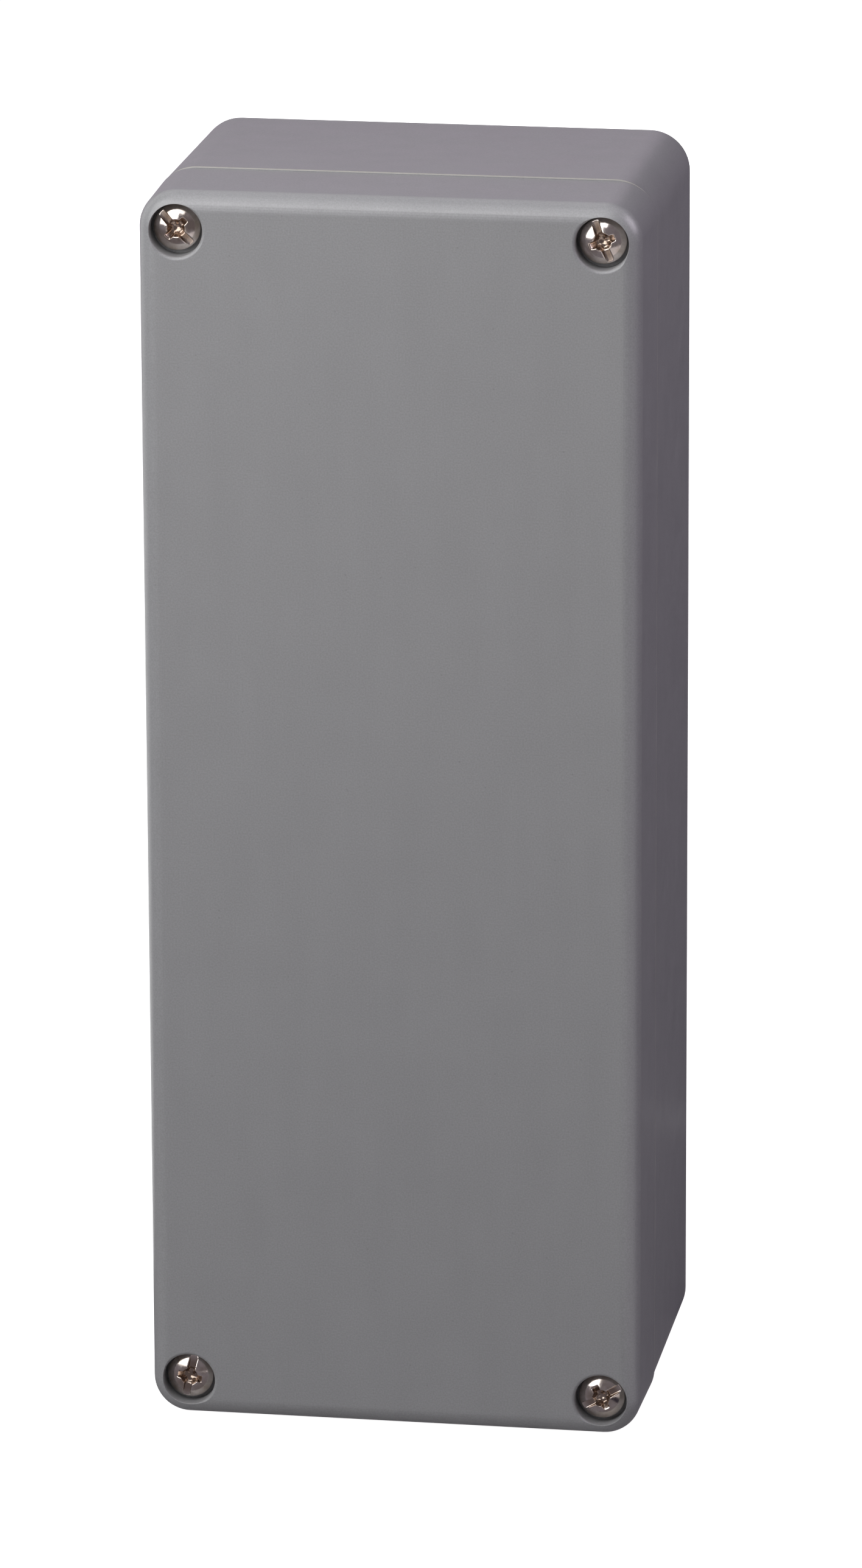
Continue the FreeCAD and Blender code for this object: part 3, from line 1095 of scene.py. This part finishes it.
@dataclass(frozen=True)
class Gasket:
    """The rubber ring in the groove of the lid."""

    width: float = 2.6 * MM
    edge: float = 0.4 * MM

    def build(self) -> None:
        """Makes the ring, rounded where the mould parted, and lets it hang with the lid."""
        bm = PLAN.ring(self.width, PLAN.groove_floor, PLAN.tongue_tip)
        for depth in (PLAN.groove_floor, PLAN.tongue_tip):
            round_off(bm, depth, self.edge, steps=4)
        ring = solid("rubber_gasket", bm)
        ring.data.transform(Matrix.Translation((0, 0, -PLAN.lid_drop)))
        polish(ring)
        add_piece(ring, RUBBER, "lid_assembly", "gasket")


@dataclass(frozen=True)
class LidScrew:
    """A captive lid screw with a domed head, a slot right across it, a cross recess and a reduced shank."""

    head: float = 7.0 * MM
    head_height: float = 2.8 * MM
    head_side: float = 1.5 * MM
    dome_steps: int = 14
    underside_chamfer: float = 0.2 * MM
    slot_width: float = 1.1 * MM
    slot_depth: float = 1.1 * MM
    cross_length: float = 4.6 * MM
    cross_width: float = 1.1 * MM
    cross_depth: float = 1.55 * MM
    cross_floor: float = 0.42
    bowl: float = 2.6 * MM
    bowl_depth: float = 1.75 * MM
    # Depth over which the painted shade in the recess reaches full strength.
    grime_depth: float = 0.6 * MM
    shank: float = 2.9 * MM
    shank_length: float = 12.8 * MM
    thread: float = 3.9 * MM
    thread_root: float = 3.14 * MM
    thread_length: float = 8.0 * MM
    pitch: float = 0.7 * MM
    point: float = 0.5 * MM
    run_out: float = 0.05 * MM
    crest_room: float = 0.01 * MM
    # Band at the dome's edge left without the painted shade.
    clean_rim: float = 0.1 * MM
    grain: float = 0.065 * MM
    passes: int = 12

    @property
    def sphere(self) -> float:
        """Radius of the ball that the dome is part of."""
        dome = self.head_height - self.head_side
        return ((self.head / 2) ** 2 + dome ** 2) / (2 * dome)

    def blank(self) -> Piece:
        """The head, turned, with its underside at y = 0.

        Returns:
            The head, without its slot and recess.
        """
        radius, sphere = self.head / 2, self.sphere
        widest = math.asin(radius / sphere)
        turns = [widest * (1 - i / self.dome_steps) for i in range(self.dome_steps + 1)]
        arc = [(sphere * math.sin(t), sphere - self.head_height - sphere * math.cos(t)) for t in turns]
        profile = [(0, 0), (radius - self.underside_chamfer, 0), (radius, -self.underside_chamfer), *arc]
        return turned("screw", [(profile, Vector())])

    def wing(self, turn: float) -> Piece:
        """Tool for one wing of the cross recess, which narrows towards its floor.

        Args:
            turn: Degrees about Y.

        Returns:
            The tool.
        """
        grow = PAST / self.cross_depth
        bm = bmesh.new()
        made = bmesh.ops.create_cube(bm, size=1.0)["verts"]
        for vert in made:
            outer = vert.co.y < 0
            share = 1 + (1 - self.cross_floor) * grow if outer else self.cross_floor
            vert.co.x *= self.cross_length * share
            vert.co.z *= self.cross_width * (1 + share) / 2
            vert.co.y = -self.head_height + (-PAST if outer else self.cross_depth)
        bmesh.ops.rotate(bm, verts=made, cent=(0, 0, 0), matrix=Matrix.Rotation(math.radians(turn), 3, "Y"))
        return solid("wing", bm)

    def slot(self) -> Piece:
        """The slot right across the head.

        Returns:
            The tool that cuts it.
        """
        bm = bmesh.new()
        made = bmesh.ops.create_cube(bm, size=1.0)["verts"]
        bmesh.ops.scale(bm, verts=made, vec=(self.head + 2 * PAST, self.slot_depth + PAST, self.slot_width))
        bmesh.ops.translate(bm, verts=made, vec=(0, -self.head_height + (self.slot_depth - PAST) / 2, 0))
        return solid("slot", bm)

    def socket(self) -> Piece:
        """The bowl in the middle of the cross.

        Returns:
            The tool that cuts it.
        """
        radius, top = self.bowl / 2, -self.head_height - PAST
        turns = [math.radians(a) for a in range(0, 91, 9)]
        side = [(radius * math.cos(t), -self.head_height + self.bowl_depth * math.sin(t)) for t in turns]
        return turned("socket", [([(0, top), (radius, top), *side], Vector())])

    def threaded_end(self) -> Piece:
        """The threaded end, run out at the shank and chamfered at the point.

        Returns:
            The end, to be added to the shank.
        """
        start, end = self.shank_length, self.shank_length + self.thread_length
        length = self.thread_length + 2 * self.pitch
        bar = helix(self.thread_root / 2, self.thread / 2, self.pitch, start - self.pitch, length)
        root, crest = self.thread_root / 2 - self.run_out, self.thread / 2 + self.crest_room
        first, last = start + self.point, end - self.point
        profile = [(0, start), (root, start), (crest, first), (crest, last), (root, end), (0, end)]
        join(bar, turned("envelope", [(profile, Vector())]), Joining.COMMON)
        return bar

    def shaft(self) -> Piece:
        """The reduced shank, which starts inside the head and ends inside the thread."""
        start, end, radius = -self.head_side / 2, self.shank_length + self.pitch / 2, self.shank / 2
        return turned("shaft", [([(0, start), (radius, start), (radius, end), (0, end)], Vector())])

    def mark_recess(self, screw: Piece) -> None:
        """Marks how deep each corner of the mesh lies under the dome, for the painted shade in the recess.

        Args:
            screw: The finished screw.
        """
        centre = Vector((0, self.sphere - self.head_height, 0))
        rim = self.head / 2 - self.clean_rim
        marks = screw.data.attributes.new("recess", "FLOAT", "POINT").data
        for vert, mark in zip(screw.data.vertices, marks):
            if vert.co.y < -self.head_side / 2 and math.hypot(vert.co.x, vert.co.z) < rim:
                mark.value = min(1.0, max(0.0, (self.sphere - (vert.co - centre).length) / self.grime_depth))

    def build(self, angles: dict[Corner, float]) -> None:
        """Makes one screw and sets a copy in each corner.

        Args:
            angles: How far each is turned, as in the photograph.
        """
        screw = self.blank()
        for tool in (self.slot(), self.wing(0), self.wing(90), self.socket()):
            join(screw, tool, Joining.CUT)
        soften(screw, self.grain, self.passes)
        join(screw, self.shaft(), Joining.ADD)
        join(screw, self.threaded_end(), Joining.ADD)
        polish(screw)
        self.mark_recess(screw)
        seat = PLAN.front + Lid.counterbore_depth
        add_copies(screw, STEEL, [
            Copy(f"captive_screw_{c.label}", f"screw_{c.label}", f"lid_screw_{c.label}",
                 c.place(PLAN.screws, seat), angles[c])
            for c in Corner
        ])


@dataclass(frozen=True)
class RetainingWasher:
    """The washer on a screw's reduced shank, which keeps the loosened screw in the lid."""

    outside: float = 7.4 * MM
    bore: float = 3.1 * MM
    thickness: float = 0.8 * MM
    punched_edge: float = 0.12 * MM

    def build(self) -> None:
        """Makes one washer, with its edges rounded by the punch, and sets a copy on each screw."""
        inner, outer, front = self.bore / 2, self.outside / 2, -self.thickness
        bm = bmesh.new()
        lathe(bm, [(inner, front), (outer, front), (outer, 0), (inner, 0)], Vector(), closed=True)
        washer = solid("washer", bm)
        wear(washer, self.punched_edge)
        polish(washer)
        add_copies(washer, POLYAMIDE, [
            Copy(f"captive_retaining_washer_{c.label}", f"washer_{c.label}", f"retaining_washer_{c.label}",
                 c.place(PLAN.screws, PLAN.parting))
            for c in Corner
        ])


@dataclass(frozen=True)
class Insert:
    """A brass insert, knurled outside with a waist that the resin grips, and threaded inside."""

    waist: float = 0.5 * MM
    waist_length: float = 2.0 * MM
    knurl: float = 0.12 * MM
    knurl_steps: int = 3
    bore: float = 4.04 * MM
    thread_depth: float = 0.25 * MM
    pitch: float = 0.7 * MM
    mouth: float = 0.25 * MM

    def body(self, length: float) -> Piece:
        """The knurled outside with its bore, from y = 0.

        Args:
            length: Length of the insert.

        Returns:
            The body, without its thread.
        """
        outer, inner, chamfer = PLAN.insert_diameter / 2, self.bore / 2, self.mouth
        narrow = outer - self.waist
        first, last = (length - self.waist_length) / 2, (length + self.waist_length) / 2
        bm = bmesh.new()
        lathe(bm, [
            (inner + chamfer, 0), (outer - chamfer / 2, 0), (outer, chamfer / 2), (outer, first),
            (narrow, first), (narrow, last), (outer, last), (outer, length), (inner, length),
            (inner, chamfer),
        ], Vector(), closed=True)
        bmesh.ops.remove_doubles(bm, verts=bm.verts, dist=HAIR)
        step = 2 * math.pi / ROUND_STEPS
        valleys = [
            v for v in bm.verts if math.hypot(v.co.x, v.co.z) > outer - HAIR
            and round(math.atan2(v.co.z, v.co.x) / step) % self.knurl_steps == 0
        ]
        share = 1 - self.knurl / outer
        bmesh.ops.scale(bm, verts=valleys, vec=(share, 1, share))
        return solid("insert", bm)

    def build(self, length: float, mouth: float, places: dict[str, Vector]) -> None:
        """Makes one insert of a length and sets a copy in each place.

        Args:
            length: Length of the insert.
            mouth: Depth of the face that it opens in.
            places: Each insert's node with its place across the front.
        """
        insert = self.body(length)
        inner = self.bore / 2
        thread = helix(inner, inner + self.thread_depth, self.pitch, -self.pitch, length + 2 * self.pitch)
        join(insert, thread, Joining.CUT)
        polish(insert)
        depth = BEHIND * (mouth + PLAN.insert_setback)
        add_copies(insert, BRASS, [
            Copy(f"brass_{cad_node}", "base_assembly", cad_node, place + depth)
            for cad_node, place in places.items()
        ])


def toward(azimuth: float, elevation: float) -> Vector:
    """The way from the object to a place this many degrees right of the front and above the horizon."""
    turn, rise = math.radians(azimuth), math.radians(elevation)
    return Vector((math.sin(turn) * math.cos(rise), -math.cos(turn) * math.cos(rise), math.sin(rise)))


def bare_tree(owner: bpy.types.ID) -> Tree:
    """Clears the nodes of a new material or world.

    Args:
        owner: The material or world.

    Returns:
        Its empty node tree.
    """
    owner.use_nodes = True
    owner.node_tree.nodes.clear()
    return owner.node_tree


def gloss_only(screen: Piece, colour: str) -> None:
    """Makes a screen of the studio show in gloss alone: it gives no light or shade and hides nothing.

    Args:
        screen: The screen, in place.
        colour: How it shows in a mirror, as sRGB hex.
    """
    screen.visible_camera = False
    screen.visible_diffuse = False
    screen.visible_shadow = False
    name = f"Screen {colour[1:]}"
    paint = bpy.data.materials.get(name)
    if not paint:
        paint = bpy.data.materials.new(name)
        tree = bare_tree(paint)
        node(tree, "OutputMaterial", {"Surface": node(tree, "Emission", {"Color": linear(colour)})})
    screen.data.materials.append(paint)


@dataclass(frozen=True)
class Card:
    """A flat screen, dark or light, that a photographer sets so that it shows in the gloss of one side.

    Attributes:
        name: Which card it is.
        place: Its middle.
        size: Its two sides.
        upright: True if it stands and faces the front, False if it lies.
        colour: How it shows in a mirror, as sRGB hex.
    """

    name: str
    place: Spot
    size: Point
    upright: bool
    colour: str = "#35313b"

    def build(self) -> None:
        """Makes the card."""
        bm = bmesh.new()
        made = bmesh.ops.create_grid(bm, x_segments=1, y_segments=1, size=0.5)["verts"]
        bmesh.ops.scale(bm, verts=made, vec=(*self.size, 1))
        if self.upright:
            bmesh.ops.rotate(bm, verts=made, cent=(0, 0, 0), matrix=Matrix.Rotation(math.pi / 2, 3, "X"))
        bmesh.ops.translate(bm, verts=made, vec=self.place)
        gloss_only(solid(self.name, bm), self.colour)


@dataclass(frozen=True)
class Room:
    """The dim room on the camera's side of the object, which the steel shows round the key light."""

    facets: int = 32
    radius: float = 1.0
    colour: str = "#736e73"

    def build(self) -> None:
        """Makes the room as the front half of a dome that stands on the floor."""
        bm = bmesh.new()
        bmesh.ops.create_uvsphere(bm, u_segments=self.facets, v_segments=self.facets // 2, radius=self.radius)
        for place, way in ((Vector(), BEHIND), (CAD_BOX[0], Vector((0, 0, -1)))):
            cut_away(bm, place, way)
        gloss_only(solid("room_in_front", bm), self.colour)


@dataclass(frozen=True)
class SoftBox:
    """A rectangular studio light that faces the object.

    Attributes:
        name: Which light it is.
        azimuth: Degrees from the front, to the right.
        elevation: Degrees above the horizon.
        distance: From the origin of the frame.
        size: Its two sides.
        radiance: How bright its face is, where 1 is white.
        colour: Tint of the light, as sRGB hex.
        in_gloss: False for a light that nothing mirrors.
    """

    name: str
    azimuth: float
    elevation: float
    distance: float
    size: Point
    radiance: float
    colour: str = "#ffffff"
    in_gloss: bool = True

    def build(self) -> None:
        """Makes the light, aimed at the origin of the frame."""
        lamp = bpy.data.lights.new(self.name, "AREA")
        lamp.shape = "RECTANGLE"
        lamp.size, lamp.size_y = self.size
        lamp.energy = self.radiance * math.pi * self.size[0] * self.size[1]
        lamp.color = linear(self.colour)[:3]
        holder = shown(self.name, lamp)
        holder.visible_camera = False
        holder.visible_glossy = self.in_gloss
        away = toward(self.azimuth, self.elevation)
        holder.location = away * self.distance
        holder.rotation_mode = "QUATERNION"
        holder.rotation_quaternion = (-away).to_track_quat("-Z", "Y")


@dataclass(frozen=True)
class Studio:
    """Floor, surroundings, lights, screens and camera of the photograph."""

    camera_place: Spot = (220.1 * MM, -1342.0 * MM, 381.8 * MM)
    camera_azimuth: float = 9.441
    camera_elevation: float = 16.057
    camera_roll: float = -0.241
    lens: float = 210.64
    sensor: float = 36.0
    floor_size: float = 12.0
    floor_drop: float = 0.2 * MM
    floor_paint: str = "#bcbcbc"
    floor_glow: float = 0.975
    ambient: float = 0.055
    card_drop: float = 0.18 * MM
    leaf: float = 0.04 * MM

    def white_for_view(self, tree: Tree) -> Socket:
        """Tells the rays that show the surroundings to the eye, directly or in gloss and glass.

        Args:
            tree: Node tree that gets the nodes.

        Returns:
            1 for such a ray, 0 for any other.
        """
        path = node(tree, "LightPath").node.outputs
        both = node(tree, "Math", {0: path["Is Camera Ray"], 1: path["Is Glossy Ray"]}, operation="ADD")
        return node(tree, "Math", {0: both, 1: path["Is Transmission Ray"]}, operation="ADD", use_clamp=True)

    def floor(self) -> None:
        """A pale floor under the object, which keeps a soft shadow."""
        bm = bmesh.new()
        bmesh.ops.create_grid(bm, x_segments=1, y_segments=1, size=self.floor_size / 2)
        bmesh.ops.translate(bm, verts=bm.verts, vec=(0, 0, CAD_BOX[0].z - self.floor_drop))
        ground = solid("studio_floor", bm)
        paint = bpy.data.materials.new("White paper, rolled")
        tree = bare_tree(paint)
        matte = node(tree, "BsdfDiffuse", {"Color": linear(self.floor_paint)})
        glow = node(tree, "Math", {0: self.white_for_view(tree), 1: self.floor_glow}, operation="MULTIPLY")
        white = node(tree, "Emission", {"Color": (1, 1, 1, 1), "Strength": glow})
        node(tree, "OutputMaterial", {"Surface": node(tree, "AddShader", {0: matte, 1: white})})
        ground.data.materials.append(paint)

    def surroundings(self) -> None:
        """White surroundings for the eye, and an even low light on the object."""
        world = bpy.data.worlds.new("studio")
        tree = bare_tree(world)
        strength = node(tree, "MapRange", {0: self.white_for_view(tree), 3: self.ambient})
        back = node(tree, "Background", {"Color": (1, 1, 1, 1), "Strength": strength})
        node(tree, "OutputWorld", {"Surface": back})
        bpy.context.scene.world = world

    def lights(self) -> None:
        """Key light from the upper left, a nearer one overhead, a fill from the right and one behind."""
        for light in (
            SoftBox("key light", -37, 30, 0.55, (0.51, 0.48), 3.05),
            SoftBox("overhead light", -16, 61, 0.42, (0.32, 0.28), 2.05),
            SoftBox("fill light", 84, 36, 0.51, (0.28, 0.28), 4.1, "#fbf0ff"),
            SoftBox("rear light", 180, 4, 0.9, (0.5, 0.5), 4.5, in_gloss=False),
        ):
            light.build()

    def screens(self) -> None:
        """Dark cards behind and below the right side, a lilac one behind the top, and what is in front.

        Those are a grey table with two light cloths, and the dim room.
        """
        table = CAD_BOX[0].z - self.card_drop
        for card in (
            Card("card_behind", (0.54, 0.10, 0.18), (1.0, 0.55), True),
            Card("card_below", (0.54, -0.075, table + self.leaf), (1.0, 0.35), False),
            Card("card_behind_low", (-0.01, 0.10, -0.0025), (0.1, 0.185), True),
            Card("card_below_back", (-0.01, 0.05, table + self.leaf), (0.1, 0.1), False),
            Card("lilac_behind", (-0.1, 0.45, 0.2), (1.2, 0.6), True, "#a395a5"),
            Card("table_in_front", (-0.2, -0.5, table), (2.0, 1.0), False, Room.colour),
            Card("light_cloth", (-0.1, -0.66, table + 2 * self.leaf), (0.5, 0.5), False, "#d6cdc6"),
            Card("light_card", (0.425, -0.2, table + 3 * self.leaf), (0.75, 0.3), False, "#dcd8dc"),
        ):
            card.build()
        Room().build()

    def camera(self) -> None:
        """Camera of the photograph, from its azimuth, elevation and roll."""
        lens = bpy.data.cameras.new("camera")
        lens.lens = self.lens
        lens.sensor_fit = "AUTO"
        lens.sensor_width = self.sensor
        holder = shown("camera", lens)
        away = toward(self.camera_azimuth, self.camera_elevation)
        facing = (-away).to_track_quat("-Z", "Y").to_matrix().to_4x4()
        roll = Matrix.Rotation(math.radians(self.camera_roll), 4, "Z")
        holder.matrix_world = Matrix.Translation(self.camera_place) @ facing @ roll
        bpy.context.scene.camera = holder

    def build(self) -> None:
        """Sets up everything round the object."""
        self.floor()
        self.surroundings()
        self.lights()
        self.screens()
        self.camera()
        bpy.context.scene.view_settings.view_transform = "Standard"


def main() -> None:
    """Builds every piece in order."""
    logging.basicConfig(level=logging.INFO, format="%(name)s: %(message)s")
    base = Base()
    base.build()
    Lid().build()
    Gasket().build()
    LidScrew().build(SLOT_ANGLES)
    RetainingWasher().build()
    posts = {f"post_insert_{corner.label}": corner.place(PLAN.screws) for corner in Corner}
    Insert().build(base.post_insert, PLAN.parting, posts)
    Insert().build(base.floor_insert, PLAN.boss_top, PLAN.floor_places)
    Studio().build()


if __name__ == "__main__":
    main()
